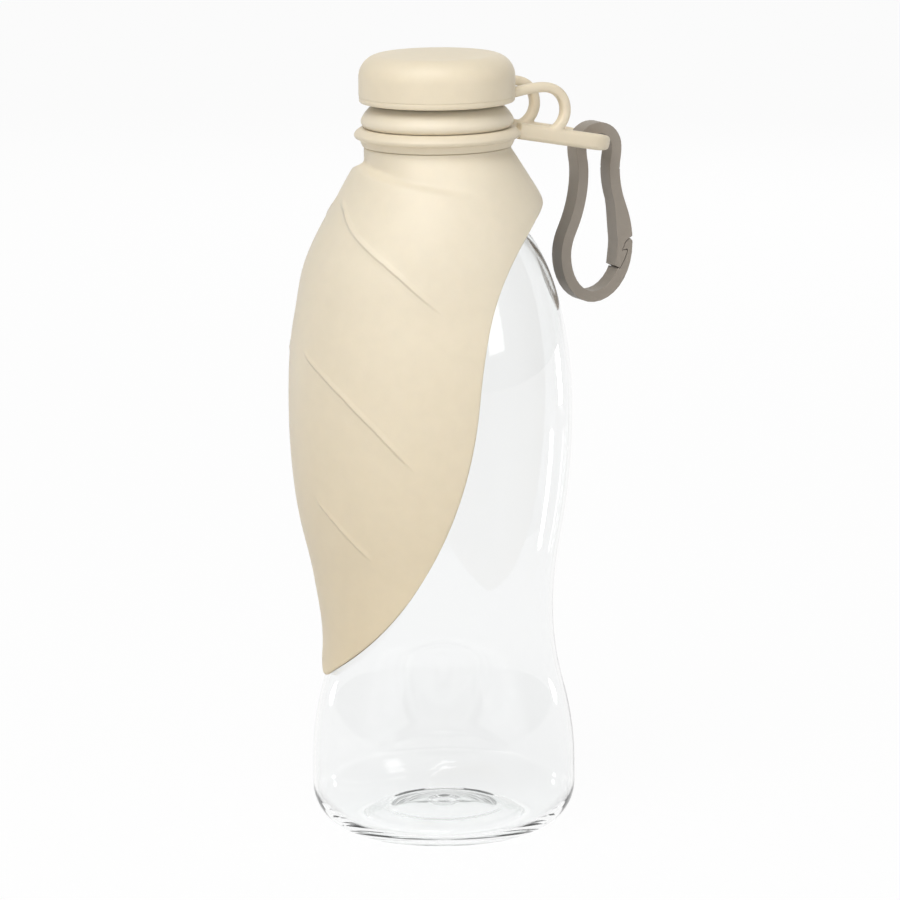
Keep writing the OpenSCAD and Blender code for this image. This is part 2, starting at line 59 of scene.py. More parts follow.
bottle_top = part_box("bottle")[1].z / MM
foot_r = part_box("bottle")[1].x / MM
foot_z = 19.0
waist_r = 32.0
waist_z = 63.5
belly_r = 37.9
belly_z = 123.0
shoulder_z = bottle_top - 28.0
neck_r = 15.6
bore_r = 13.8
pet_wall = 1.2
heel_r = 12.5
punt_r = foot_r - heel_r - 2.0
punt_h = 5.8
gate_mark_r = 3.6
gate_mark_h = 0.8
step_h = 0.5
thread_pitch = 4.2
thread_turns = 2.5
thread_h = 1.05
thread_start_z = bottle_top - 14.6


class Wire:
    """An output of a material's node. Sums and products of wires, and a number less a wire, add
    Math nodes. node() adds any other: its settings come first, then the values or wires of its
    inputs."""

    def __init__(self, tree, socket=None):
        self.tree = tree
        self.socket = socket

    def node(self, kind, settings=None, inputs=None, output=0):
        made = self.tree.nodes.new("ShaderNode" + kind)
        for name, value in (settings or {}).items():
            if name == "stops":
                ends = made.color_ramp.elements
                while len(ends) < len(value):
                    ends.new(0.5)
                for end, (place, colour) in zip(ends, value):
                    end.position = place
                    end.color = (*colour, 1.0)
            else:
                setattr(made, name, value)
        for name, value in (inputs or {}).items():
            if isinstance(value, Wire):
                self.tree.links.new(value.socket, made.inputs[name])
            else:
                made.inputs[name].default_value = value
        return Wire(self.tree, made.outputs[output]) if made.outputs else made

    def maths(self, operation, *values):
        return self.node("Math", {"operation": operation}, dict(enumerate(values)))

    def __add__(self, other):
        return self.maths("ADD", self, other)

    def __mul__(self, other):
        return self.maths("MULTIPLY", self, other)

    def __rsub__(self, other):
        return self.maths("SUBTRACT", other, self)

    __radd__ = __add__
    __rmul__ = __mul__


def srgb(red, green, blue):
    """The linear colour of an sRGB colour given in 0 to 255, by the sRGB curve."""
    share = np.array([red, green, blue]) / 255
    linear = np.where(share <= 0.04045, share / 12.92, ((share + 0.055) / 1.055) ** 2.4)
    return tuple(float(x) for x in linear)


def start_material(name):
    """An empty material, with a wire into its tree and the wire of its Object coordinates."""
    made = bpy.data.materials.new(name)
    made.use_nodes = True
    made.node_tree.nodes.clear()
    tree = Wire(made.node_tree)
    place = tree.node("TexCoord", output="Object")
    return made, tree, place


def end_material(tree, shader):
    """Joins the shader to the material's output."""
    tree.node("OutputMaterial", inputs={"Surface": shader})


def share_of_rays(tree, *kinds):
    """1 for rays of the given kinds and 0 for all others."""
    rays = tree.node("LightPath").socket.node.outputs
    total = Wire(tree.tree, rays[kinds[0]])
    for kind in kinds[1:]:
        total = tree.maths("MAXIMUM", total, Wire(tree.tree, rays[kind]))
    return total


def put_in_mesh(name, points, faces, sharp_angle=40.0):
    """Makes a piece from points in millimetres and faces, closes its doubled points, turns its
    faces outwards, and shades it smooth up to the sharp angle."""
    mesh = bpy.data.meshes.new(name)
    mesh.from_pydata((points.reshape(-1, 3) * MM).tolist(), [], faces.reshape(-1, 4).tolist())
    shape = bmesh.new()
    shape.from_mesh(mesh)
    bmesh.ops.remove_doubles(shape, verts=shape.verts, dist=1e-7)
    bmesh.ops.dissolve_degenerate(shape, dist=1e-8, edges=shape.edges)
    bmesh.ops.recalc_face_normals(shape, faces=shape.faces)
    shape.to_mesh(mesh)
    shape.free()
    mesh.shade_smooth()
    mesh.set_sharp_from_angle(angle=math.radians(sharp_angle))
    piece = bpy.data.objects.new(name, mesh)
    bpy.context.scene.collection.objects.link(piece)
    return piece


def grid_faces(rows, columns, closed_rows, closed_columns):
    """The quads of a grid of points, row by row, that may close on itself either way."""
    i = np.arange(rows if closed_rows else rows - 1)[:, None]
    j = np.arange(columns if closed_columns else columns - 1)[None, :]
    down, right = (i + 1) % rows, (j + 1) % columns
    corners = [i * columns + j, down * columns + j, down * columns + right, i * columns + right]
    return np.stack(np.broadcast_arrays(*corners), axis=-1)


def lathe(name, r, z, columns=160, closed=True, sharp_angle=40.0):
    """A turned piece: profile point (r, z) goes to (r cos t, r sin t, z) for t round the axis.
    r and z may vary with t as the second axis of their arrays."""
    turn = np.linspace(0, 2 * np.pi, columns, endpoint=False)[None, :]
    r = np.atleast_2d(np.asarray(r, float).T).T
    z = np.atleast_2d(np.asarray(z, float).T).T
    points = np.stack(np.broadcast_arrays(r * np.cos(turn), r * np.sin(turn), z), axis=-1)
    return put_in_mesh(name, points, grid_faces(len(r), columns, closed, True), sharp_angle)


def s_curve(t, k):
    """A curve from 0 to 1, flat at both ends: two parabolas that meet at t = k."""
    return np.where(t < k, t * t / k, 1 - (1 - t) ** 2 / (1 - k))


def smooth_step(a, b, x):
    """0 up to a, 1 from b, and 3tt - 2ttt between them."""
    t = np.clip((x - a) / (b - a), 0, 1)
    return t * t * (3 - 2 * t)


def body_r(z):
    """Outer radius of the blown body: S-curves from the foot to the waist and the belly, then a
    quarter of an ellipse over the shoulder to the neck."""
    low = foot_r + (waist_r - foot_r) * s_curve((z - foot_z) / (waist_z - foot_z), 0.5)
    middle = (z - waist_z) / (belly_z - waist_z)
    high = waist_r + (belly_r - waist_r) * s_curve(np.clip(middle, 0, 1), 0.36)
    rise = np.clip((z - belly_z) / (shoulder_z - belly_z), 0, 1)
    top = neck_r + (belly_r - neck_r) * np.sqrt(1 - rise ** 2)
    return np.select([z < foot_z, z < waist_z, z < belly_z], [foot_r, low, high], top)


def base_line(drop, thick=0.0):
    """The push-up, z = punt_h (1 - rr / punt_r punt_r) with its gate mark and its stepped ring,
    and the round heel, from the axis outwards. They are moved up into the wall by drop, and by
    thick more where the base is heavier than the side."""
    r = np.concatenate([np.linspace(0, gate_mark_r, 5),
                        np.linspace(gate_mark_r + 0.5, punt_r, 26)])
    z = punt_h * (1 - (r / punt_r) ** 2) + drop + thick * smooth_step(8, 20, r)
    z -= gate_mark_h * smooth_step(gate_mark_r + 0.5, gate_mark_r - 0.2, r)
    z += step_h * smooth_step(15.0, 16.8, r) * (1 - smooth_step(21.5, 23.3, r))
    turn = np.radians(np.linspace(-90, 0, 24))
    heel = heel_r - drop
    r = np.concatenate([r, foot_r - heel_r + heel * np.cos(turn)])
    z = np.concatenate([z, heel_r + (heel - thick) * np.sin(turn)])
    return np.stack([r, z], axis=-1)


def side_line(drop, top_r):
    """The wall from the heel to the root of the neck, drawn in by drop."""
    z = np.linspace(heel_r + 1.5, belly_z, 70)
    side = np.stack([body_r(z) - drop, z], axis=-1)
    turn = np.radians(np.linspace(2, 90, 40))
    wide = belly_r - drop - top_r
    over = np.stack([top_r + wide * np.cos(turn),
                     belly_z + (shoulder_z - belly_z) * np.sin(turn)], axis=-1)
    return np.concatenate([side, over])


support_foot = shoulder_z + 4.5
neck_line = np.array([[neck_r, support_foot], [neck_r + 2.45, support_foot + 0.65],
                      [neck_r + 2.6, support_foot + 0.8], [neck_r + 2.6, support_foot + 2.1],
                      [neck_r + 2.45, support_foot + 2.25], [neck_r, support_foot + 2.25]])
thread_z = np.linspace(bottle_top - 18.6, bottle_top - 1.4, 90)
thread_line = np.stack([np.full(len(thread_z), neck_r), thread_z], axis=-1)
rim_line = np.array([[neck_r, bottle_top - 0.4], [neck_r - 0.4, bottle_top],
                     [bore_r + 0.4, bottle_top], [bore_r, bottle_top - 0.4]])
outside = np.concatenate([base_line(0), side_line(0, neck_r), neck_line, thread_line])
inside = np.concatenate([base_line(pet_wall, 1.1), side_line(pet_wall, bore_r)])
line = np.concatenate([outside, rim_line, inside[::-1]])

# The thread is one raised ridge that climbs for two turns and a half and fades at both ends
columns = 192
turn = np.linspace(0, 2 * np.pi, columns, endpoint=False)[None, :]
in_thread = slice(len(outside) - len(thread_line), len(outside))
radius = np.repeat(line[:, :1], columns, axis=1)
climb = thread_z[:, None] - thread_start_z - thread_pitch * turn / (2 * np.pi)
lap = np.round(climb / thread_pitch)
travel = np.clip(lap, 0, 3) + turn / (2 * np.pi)
ridge = 1 - smooth_step(0.35, 1.15, np.abs(climb - thread_pitch * lap))
ending = smooth_step(thread_turns, thread_turns + 0.1, travel)
fade = smooth_step(0, 0.1, travel) * (1 - ending) * (lap >= 0)
radius[in_thread] += thread_h * ridge * fade
bottle = lathe("clear_bottle", radius, line[:, 1], columns=columns, sharp_angle=60)

pet, tree, place = start_material("clear_pet")
waves = tree.node("TexNoise", inputs={
    "Vector": tree.node("Mapping", inputs={"Vector": place, "Scale": (1, 1, 0.35)}),
    "Scale": 26.0, "Detail": 1.0})
ripple = tree.node("Bump", inputs={"Height": waves, "Strength": 0.05, "Distance": 0.002})
clear = tree.node("BsdfPrincipled", inputs={
    "Base Color": (0.985, 0.99, 0.99, 1), "Roughness": 0.015, "IOR": 1.45,
    "Transmission Weight": 1.0, "Normal": ripple})
# The lamps shine through the thin wall on what lies behind it
passed = tree.node("BsdfTransparent", inputs={"Color": (0.93, 0.94, 0.94, 1)})
end_material(tree, tree.node("MixShader", inputs={
    0: share_of_rays(tree, "Is Shadow Ray"), 1: clear, 2: passed}))
bottle.data.materials.append(pet)
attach(bottle, "root")
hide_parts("bottle")

# The screw collar and its gasket
# A cream collar moulded in hard plastic screws onto the neck over a flat silicone gasket. Its
# spout stands in the middle, and the leaf is moulded over its skirt.


def moulded(name, colour, roughness, grain, sheen=0.0, deep=0.0, ribs_and_painted_shade=False):
    """A satin moulded finish: a fine grain in the surface, and a colour and gloss that vary a
    little over it. With ribs_and_painted_shade, painted shade deepens and warms the colour from
    above the belly down to the leaf's tip, as if less light fell there, and raised crests are
    drawn where the UV map gives a distance and a height."""
    made, tree, place = start_material(name)
    cloud = tree.node("TexNoise", inputs={"Vector": place, "Scale": 240.0, "Detail": 3.0})
    speck = tree.node("TexNoise", inputs={"Vector": place, "Scale": 1800.0, "Detail": 2.0})
    low = tuple(x * 0.985 for x in colour)
    high = tuple(x * 1.012 for x in colour)
    tone = tree.node("ValToRGB", {"stops": [(0.3, low), (0.7, high)]}, {"Fac": cloud})
    bump = tree.node("Bump", inputs={"Height": speck, "Strength": grain, "Distance": 0.0002})
    if ribs_and_painted_shade:
        # Painted shade: the colour is multiplied darker and warmer towards the leaf's tip,
        # standing in for the light falling off lower down
        z = tree.node("SeparateXYZ", inputs={"Vector": place}, output=2)
        painted_shade_fade = tree.node("MapRange", inputs={
            "Value": z, "From Min": 0.045, "From Max": 0.17})
        tone = tree.node("Mix", {"data_type": "RGBA", "blend_type": "MULTIPLY"}, {
            "Factor": 1.0 - painted_shade_fade, 6: tone, 7: (0.96, 0.905, 0.8, 1)}, 2)
        field = tree.node("SeparateXYZ", inputs={"Vector": tree.node("TexCoord", output="UV")})
        away, height = (Wire(tree.tree, socket) for socket in field.socket.node.outputs[:2])
        wide = 0.6 + 0.8 * tree.maths("GREATER_THAN", away, 0.0)
        share = 1.0 - tree.maths("DIVIDE", tree.maths("ABSOLUTE", away), wide)
        crest = height * tree.maths("SMOOTH_MAX", share, 0.0, 0.2)
        bump = tree.node("Bump", inputs={"Height": crest, "Strength": 1.0, "Distance": 0.00028,
                                         "Normal": bump})
    end_material(tree, tree.node("BsdfPrincipled", inputs={
        "Base Color": tone, "Roughness": roughness - 0.06 + 0.12 * cloud, "Normal": bump,
        "Sheen Weight": sheen, "Sheen Roughness": 0.4, "Subsurface Weight": deep,
        "Subsurface Radius": (0.003, 0.002, 0.001), "Subsurface Scale": 1.0}))
    return made


def dress(node, material):
    """Gives a shown CAD node its finish."""
    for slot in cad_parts[node].material_slots:
        slot.material = material


cream = moulded("cream_plastic", srgb(231, 226, 214), 0.42, 0.1)
milky = moulded("milky_silicone", srgb(226, 222, 210), 0.5, 0.06)
dress("screw_collar", cream)
dress("mouth_gasket", milky)

# The leaf
# One silicone moulding: a lip over the collar's plate, a bead, the groove for the tether ring,
# a flared neck and the leaf, which wraps the bottle, thins towards its margin and has veins.
leaf_lip_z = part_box("leaf_collar")[1].z / MM
leaf_tip_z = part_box("leaf_blade")[0].z / MM
leaf_back_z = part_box("leaf_blade")[1].z / MM
leaf_neck_r = 21.1
leaf_neck_z = 197.1
ridge_r = 30.3
ridge_z = shoulder_z + 2
wrap_z = belly_z + 27
leaf_wall = 2.0
edge_wall = 1.3
leaf_gap = 1.1
tip_gap = 0.5
leaf_turn = math.radians(11.0)
groove_foot = 198.3
bead_foot = leaf_lip_z - 6.5


def hermite(t, h, p, m, q, n):
    """The cubic from value p with slope m to value q with slope n over length h."""
    return ((2 * t ** 3 - 3 * t ** 2 + 1) * p + (t ** 3 - 2 * t ** 2 + t) * h * m
            + (3 * t ** 2 - 2 * t ** 3) * q + (t ** 3 - t ** 2) * h * n)


def leaf_share(z):
    """The height as a share of the leaf's, from 0 at its tip to 1 at its back."""
    return (z - leaf_tip_z) / (leaf_back_z - leaf_tip_z)


def leaf_side_r(z):
    """Outer radius of the leaf away from its midrib: it hugs the body, then runs in two cubics
    over the shoulder ridge to the neck."""
    wrap_r = float(body_r(np.array(wrap_z))) + leaf_gap + leaf_wall
    slope = float(body_r(np.array(wrap_z - 1.0)) - body_r(np.array(wrap_z + 1.0))) / 2
    neck = hermite(np.clip((leaf_neck_z - z) / (leaf_neck_z - ridge_z), 0, 1),
                   leaf_neck_z - ridge_z, leaf_neck_r, 0.66, ridge_r, 0.5)
    upper = hermite(np.clip((ridge_z - z) / (ridge_z - wrap_z), 0, 1),
                    ridge_z - wrap_z, ridge_r, 0.5, wrap_r, slope)
    swell = leaf_gap - tip_gap + leaf_wall - edge_wall
    lower = body_r(z) + tip_gap + edge_wall + swell * smooth_step(0, 0.2, leaf_share(z))
    return np.select([z > ridge_z, z > wrap_z], [neck, upper], lower)


def leaf_r(z, a):
    """Outer radius at height z and angle a from the midrib, which stands off the body."""
    share = leaf_share(z)
    rise = 2.5 * smooth_step(0, 0.38, share) + smooth_step(0.55, 0.8, share)
    rise = rise * (1 - smooth_step(0.82, 1, share))
    return leaf_side_r(z) + rise * np.clip(np.cos(a), 0, 1) ** 2


def bezier(points, t):
    """The cubic Bezier curve through four control points."""
    p = np.asarray(points, float)
    t = t[:, None]
    return ((1 - t) ** 3 * p[0] + 3 * t * (1 - t) ** 2 * p[1]
            + 3 * t ** 2 * (1 - t) * p[2] + t ** 3 * p[3])


def near_line(x, y, ends):
    """Distance from points (x, y) to a line through the ends, below 0 on its right hand, and
    the share along it."""
    ends = np.asarray(ends, float)
    lengths = np.hypot(*np.diff(ends, axis=0).T)
    passed = np.concatenate([[0], np.cumsum(lengths)])
    best = np.full(x.shape, 1e9)
    along = np.zeros(x.shape)
    for start, step, length, before in zip(ends[:-1], np.diff(ends, axis=0), lengths, passed):
        t = np.clip(((x - start[0]) * step[0] + (y - start[1]) * step[1]) / length ** 2, 0, 1)
        away = np.hypot(x - start[0] - t * step[0], y - start[1] - t * step[1])
        left = step[0] * (y - start[1]) > step[1] * (x - start[0])
        nearer = away < np.abs(best)
        along = np.where(nearer, (before + t * length) / passed[-1], along)
        best = np.where(nearer, np.where(left, away, -away), best)
    return best, along


def vein_field(turned, z):
    """For the angle from the midrib in degrees and the height: the distance to the nearest
    vein in millimetres, positive on its upper side, and the vein's height there as a share,
    which is 0 past its ends and beyond 8 mm."""
    nearest = np.full(turned.shape, 1e9)
    height = np.zeros(turned.shape)
    for vein, tall in zip(veins, vein_tall):
        ends = [(math.radians(a) * mean_r, high) for a, high in vein]
        away, along = near_line(np.radians(turned) * mean_r, z, ends)
        share = tall * smooth_step(0, 0.12, along) * (1 - smooth_step(0.8, 1.0, along))
        share = share * smooth_step(8, 4, np.abs(away))
        nearer = np.abs(away) < np.abs(nearest)
        nearest = np.where(nearer, away, nearest)
        height = np.where(nearer, share, height)
    return nearest, height


# The margin, as angle from the midrib in degrees and share of the leaf's height: a blunt tip,
# the run up along the body, and the turn round to the back of the neck
half_angle = 91.0
tip_round = [[0, -0.0003], [2.4, -0.0003], [3.9, 0.0029], [6.0, 0.0073]]
margin_low = [[2.5, 0], [0.385 * half_angle, 0.07],
              [0.89 * half_angle, 0.18], [half_angle, 0.604]]
margin_high = [[half_angle, 0.604], [1.078 * half_angle, 0.924],
               [1.392 * half_angle, 0.968], [180, 1]]
margin = np.concatenate([bezier(tip_round, np.linspace(0, 1, 8)),
                         bezier(margin_low, np.linspace(0.045, 1, 86)),
                         bezier(margin_high, np.linspace(0, 1, 90)[1:])])
margin_angle = np.radians(margin[:, 0])
margin_z = leaf_tip_z + margin[:, 1] * (leaf_back_z - leaf_tip_z)

# The neck's two outlines from the flare up to the lip: outside over the ring groove and the
# bead, and inside along the collar
bead_r = 21.7
neck_out = np.array([
    [20.9, leaf_neck_z + 0.5], [20.85, groove_foot - 0.15], [20.7, groove_foot],
    [19.9, groove_foot], [19.9, bead_foot], [bead_r - 1.3, bead_foot],
    [bead_r - 0.8, bead_foot + 0.15], [bead_r - 0.35, bead_foot + 0.65],
    [bead_r - 0.05, bead_foot + 1.2], [bead_r, bead_foot + 1.7],
    [bead_r - 0.1, bead_foot + 2.2], [bead_r - 0.4, bead_foot + 2.8],
    [bead_r - 1.1, bead_foot + 3.9], [bead_r - 2.1, bead_foot + 5.05],
    [bead_r - 3.3, bead_foot + 5.95], [bead_r - 4.2, bead_foot + 6.4],
    [bead_r - 4.8, leaf_lip_z], [16.9, leaf_lip_z]])
neck_in = np.array([
    [19.1, leaf_neck_z - 1.8], [18.9, leaf_neck_z - 1.2], [18.9, groove_foot],
    [18.9, bead_foot], [18.9, bead_foot + 4.2], [18.8, bead_foot + 4.6],
    [18.4, bead_foot + 5.2], [17.9, bead_foot + 5.6], [17.4, bead_foot + 5.9],
    [16.7, leaf_lip_z - 0.6], [16.7, leaf_lip_z - 0.3]])

# The leaf's rows follow its margin from the tip up to the back, and its columns run from one
# side of the margin over the midrib to the other, closer together near the margin
columns = 161
across = np.sin(np.linspace(-1, 1, columns) * np.pi / 2)
across = 0.6 * across + 0.4 * np.linspace(-1, 1, columns)
flare_z = np.linspace(leaf_back_z, leaf_neck_z, 24)[1:]
row_z = np.concatenate([margin_z, flare_z])[:, None]
row_angle = np.concatenate([margin_angle, np.full(len(flare_z), np.pi)])[:, None]
angle = row_angle * across[None, :]
skin_z = np.broadcast_to(row_z, angle.shape)
outer_r = leaf_r(skin_z, angle)

# Veins slant down from near the midrib as low ribs, gentler above than below, that die away.
# Each is a line of points: angle from the midrib in degrees, and height
veins = [[(1, 184.8), (13, 182.2), (27, 177.4), (41, 172.7), (50, 169.4), (58, 165.8),
          (80, 154)],
         [(9, 143.8), (12, 142.2), (24, 137.6), (35.5, 132), (49, 123.8), (67, 110.6)],
         [(17, 101.7), (20.9, 99.3), (27, 95.8), (33, 92), (45.7, 84.2)]]
vein_tall = (1.0, 1.0, 0.75)
vein_h = 0.32
mean_r = 38.0
turned = np.degrees(np.abs(angle))
away, height = vein_field(turned, skin_z)
flank = np.where(away > 0, 1.5, 0.9)
outer_r = outer_r + vein_h * height * np.exp(-(away / flank) ** 2)

# Over the midrib the neck runs straight down below the ring and then steps out to the leaf.
# The step slants down and grows softer on both sides, and is gone at the back.
step_z = 194.6 - 0.07 * turned
above = smooth_step(-1.5, 0.6, skin_z - step_z)
depth = above * (1 - 0.68 * smooth_step(20, 60, turned) - 0.32 * smooth_step(70, 104, turned))
outer_r = outer_r - np.maximum(outer_r - 20.9, 0) * depth
# At the back the skin swells a little where the two margins meet
outer_r = outer_r + 0.4 * smooth_step(120, 160, turned) * np.exp(-((skin_z - 184) / 5.0) ** 2)

# The wall thins towards the margin, and its section ends there in half a circle
margin_r = leaf_side_r(margin_z)
edge = np.stack([-margin_r * np.cos(margin_angle), margin_r * np.sin(margin_angle),
                 margin_z], axis=-1)
skin = np.stack([-outer_r * np.cos(angle), outer_r * np.sin(angle), skin_z], axis=-1)
folded = np.stack([skin[..., 0], np.abs(skin[..., 1]), skin[..., 2]], axis=-1)
to_edge = np.full(angle.shape, 1e9)
for i in range(len(edge) - 1):
    start, step = edge[i], edge[i + 1] - edge[i]
    t = np.clip(((folded - start) @ step) / (step @ step), 0, 1)
    to_edge = np.minimum(to_edge, np.linalg.norm(folded - start - t[..., None] * step, axis=-1))
to_edge = np.where(np.arange(len(row_z))[:, None] >= len(margin), 1e9, to_edge)
wall = edge_wall + (leaf_wall - edge_wall) * smooth_step(1, 12, to_edge)
near_edge = np.clip(1 - to_edge / (edge_wall * 0.5), 0, 1)
round_off = np.sqrt(np.clip(1 - near_edge ** 2, 0, 1))
outer_face = outer_r - wall * (1 - round_off) / 2
inner_face = outer_r - wall * (1 + round_off) / 2
line_r = np.concatenate([outer_face, np.repeat(neck_out[:, :1], columns, axis=1),
                         np.repeat(neck_in[::-1, :1], columns, axis=1), inner_face[::-1]])
line_z = np.concatenate([skin_z, np.repeat(neck_out[:, 1:], columns, axis=1),
                         np.repeat(neck_in[::-1, 1:], columns, axis=1), skin_z[::-1]])
around = np.pi * across[None, :]
line_a = leaf_turn + np.concatenate([
    angle, np.repeat(around, len(neck_out) + len(neck_in), axis=0), angle[::-1]])
points = np.stack([-line_r * np.cos(line_a), line_r * np.sin(line_a), line_z], axis=-1)
leaf = put_in_mesh("silicone_leaf", points,
                   grid_faces(len(points), columns, False, False), 45)
# Its UV map holds the vein field, so that the finish can draw the thin crests sharply
vertices = np.array([v.co for v in leaf.data.vertices]) / MM
turned = np.degrees(np.arctan2(vertices[:, 1], -vertices[:, 0])) - math.degrees(leaf_turn)
turned = np.abs((turned + 180) % 360 - 180)
field = np.stack(vein_field(turned, vertices[:, 2]), axis=-1)
of_corner = np.array([loop.vertex_index for loop in leaf.data.loops])
leaf.data.uv_layers.new(name="veins").data.foreach_set("uv", field[of_corner].ravel())
beige = moulded("beige_silicone", srgb(225, 212, 187), 0.5, 0.12, sheen=0.12, deep=0.04)
# The leaf's finish has painted shade on its lower part, darker and warmer towards the tip
veined = moulded("veined_silicone_with_painted_shade", srgb(225, 214, 192), 0.5, 0.12, sheen=0.12, deep=0.06,
                 ribs_and_painted_shade=True)
leaf.data.materials.append(veined)
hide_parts("leaf_collar", "leaf_blade")
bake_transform(leaf)

# The tether
# The ring that turns in the leaf's groove, its drooping tab and the two looped straps are one
# silicone moulding. The carabiner hangs from the bar across the tab's end.
ring_top = 203.7
ring_foot = 198.5
ring_in = 20.1
tab_drop = math.radians(11.0)
tab_z = 202.35
tab_end = 52.6
rail_y = 9.5
corner_r = 5.8
bar_x = 50.3


def superellipse(power, around=24):
    """Points round |x|^power + |y|^power = 1."""
    t = np.linspace(0, 2 * np.pi, around, endpoint=False)
    c, s = np.cos(t), np.sin(t)
    return np.stack([np.sign(c) * np.abs(c) ** (2 / power),
                     np.sign(s) * np.abs(s) ** (2 / power)], axis=-1)


def sweep(name, path, section, half_wide, half_high, across):
    """A bar along a path: a section within -1 to 1, scaled to these half sizes and set square
    to the path, with its width along the direction given by across."""
    path = np.asarray(path, float)
    ahead = np.gradient(path, axis=0)
    ahead /= np.linalg.norm(ahead, axis=1)[:, None]
    wide = across - np.sum(across * ahead, axis=1)[:, None] * ahead
    wide /= np.linalg.norm(wide, axis=1)[:, None]
    high = np.cross(wide, ahead)
    half_wide = np.broadcast_to(half_wide, len(path))[:, None, None]
    half_high = np.broadcast_to(half_high, len(path))[:, None, None]
    skin = (path[:, None, :] + half_wide * section[None, :, :1] * wide[:, None, :]
            + half_high * section[None, :, 1:] * high[:, None, :])
    ends = np.repeat(path[[0, -1], None, :], len(section), axis=1)
    skin = np.concatenate([ends[:1], skin, ends[1:]])
    return put_in_mesh(name, skin, grid_faces(len(skin), len(section), False, True))


def in_tab(x, y):
    """A point of the tab's drooping middle plane, x measured along the plane."""
    return np.stack([ring_in + (x - ring_in) * math.cos(tab_drop), y,
                     tab_z - (x - ring_in) * math.sin(tab_drop)], axis=-1)


# The ring is turned with its true edges, and a core just under its skin is joined to the tab
ring_h = ring_top - ring_foot
ring_r = np.array([ring_in, 21.15, 21.3, 21.7, 22.05, 22.3, 22.85, 23.4, 23.6, 23.65, 23.5,
                   23.15, 22.6, 22.05, 21.4, ring_in])
ring_z = ring_foot + np.array([0, 0, 0.1, 1.0, 1.9, 2.1, 2.25, 2.55, 2.9, 3.3, 3.7, 4.15, 4.6,
                               4.95, ring_h, ring_h])
ring = lathe("ring", ring_r, ring_z, columns=192, sharp_angle=24)
under = 0.12
under_r = ring_r + np.where(ring_r > ring_in, -under, under)
under_z = np.clip(ring_z, ring_foot + under, ring_top - under)
parts = [lathe("ring_core", under_r, under_z, columns=192)]

# The tab is one bar: out along one rail, across its end and back along the other rail
run = np.linspace(ring_in + 0.8, tab_end - corner_r - 1.8, 60)
bend = np.linspace(0, np.pi / 2, 16)[1:]
corner_x = run[-1] + corner_r * np.sin(bend)
corner_y = rail_y - corner_r + corner_r * np.cos(bend)
cross_y = np.linspace(rail_y - corner_r, -(rail_y - corner_r), 14)[1:-1]
cross_x = np.full(len(cross_y), corner_x[-1])
beside = np.full(len(run), rail_y)
tab_x = np.concatenate([run, corner_x, cross_x, corner_x[::-1], run[::-1]])
tab_y = np.concatenate([beside, corner_y, cross_y, -corner_y[::-1], -beside])
half_wide = np.interp(tab_x, [tab_end - corner_r, tab_end - 2], [1.8, 2.1])
half_high = np.interp(tab_x, [tab_end - corner_r, tab_end - 2], [2.35, 2.1])
flat = np.stack([tab_x, tab_y], axis=-1)
side_x, side_y = (np.gradient(flat, axis=0)[:, ::-1] * [1, -1]).T
sideways = np.stack([side_x * math.cos(tab_drop), side_y,
                     -side_x * math.sin(tab_drop)], axis=-1)
parts.append(sweep("rails", in_tab(tab_x, tab_y), superellipse(3.6), half_wide, half_high,
                   sideways))

loop_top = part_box("strap_front")[1].z / MM
loop_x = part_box("strap_front")[1].x / MM
strap_t = 2.9
strap_w = 3.4
strap_top = loop_top - strap_t / 2
strap_out = loop_x - strap_t / 2
rail_mid_z = tab_z - (30.0 - ring_in) * math.tan(tab_drop)
# Each strap leaves the cap, loops outwards and runs back down into its rail
third = np.linspace(0, 1, 24)
strap_side = np.concatenate([
    bezier([[18.5, loop_top - 2.6], [22, loop_top - 1.9],
            [25, strap_top], [28.4, strap_top]], third),
    bezier([[28.4, strap_top], [32.8, strap_top],
            [strap_out, loop_top - 4.2], [strap_out, loop_top - 8.3]], third)[1:],
    bezier([[strap_out, loop_top - 8.3], [strap_out, loop_top - 11.3],
            [33.6, rail_mid_z + 0.6], [28.6, rail_mid_z + 0.2]], third)[1:]])
for side in (-1, 1):
    path = np.stack([strap_side[:, 0], np.full(len(strap_side), side * rail_y),
                     strap_side[:, 1]], axis=-1)
    parts.append(sweep("strap", path, superellipse(3.0), strap_w / 2, strap_t / 2,
                       np.array([[0.0, 1.0, 0.0]])))


def join_into(first, *others):
    """Joins the other pieces into the first."""
    bpy.ops.object.select_all(action="DESELECT")
    for piece in (first, *others):
        piece.select_set(True)
    bpy.context.view_layer.objects.active = first
    bpy.ops.object.join()


# The core, the tab and the straps become one closed skin with small fillets where they meet
join_into(*parts)
tether = parts[0]
tether.name = tether.data.name = "silicone_tether"
remesh = tether.modifiers.new("one skin", "REMESH")
remesh.mode = "VOXEL"
remesh.voxel_size = 0.34 * MM
ease = tether.modifiers.new("fillets", "SMOOTH")
ease.factor = 0.5
ease.iterations = 3
eased = tether.evaluated_get(bpy.context.evaluated_depsgraph_get())
one_skin = bpy.data.meshes.new_from_object(eased)
tether.modifiers.clear()
tether.data = one_skin
tether.data.materials.clear()
tether.data.materials.append(beige)
tether.data.shade_smooth()
ring.data.materials.append(beige)
join_into(tether, ring)
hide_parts("tether_ring", "strap_front", "strap_rear")
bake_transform(tether)

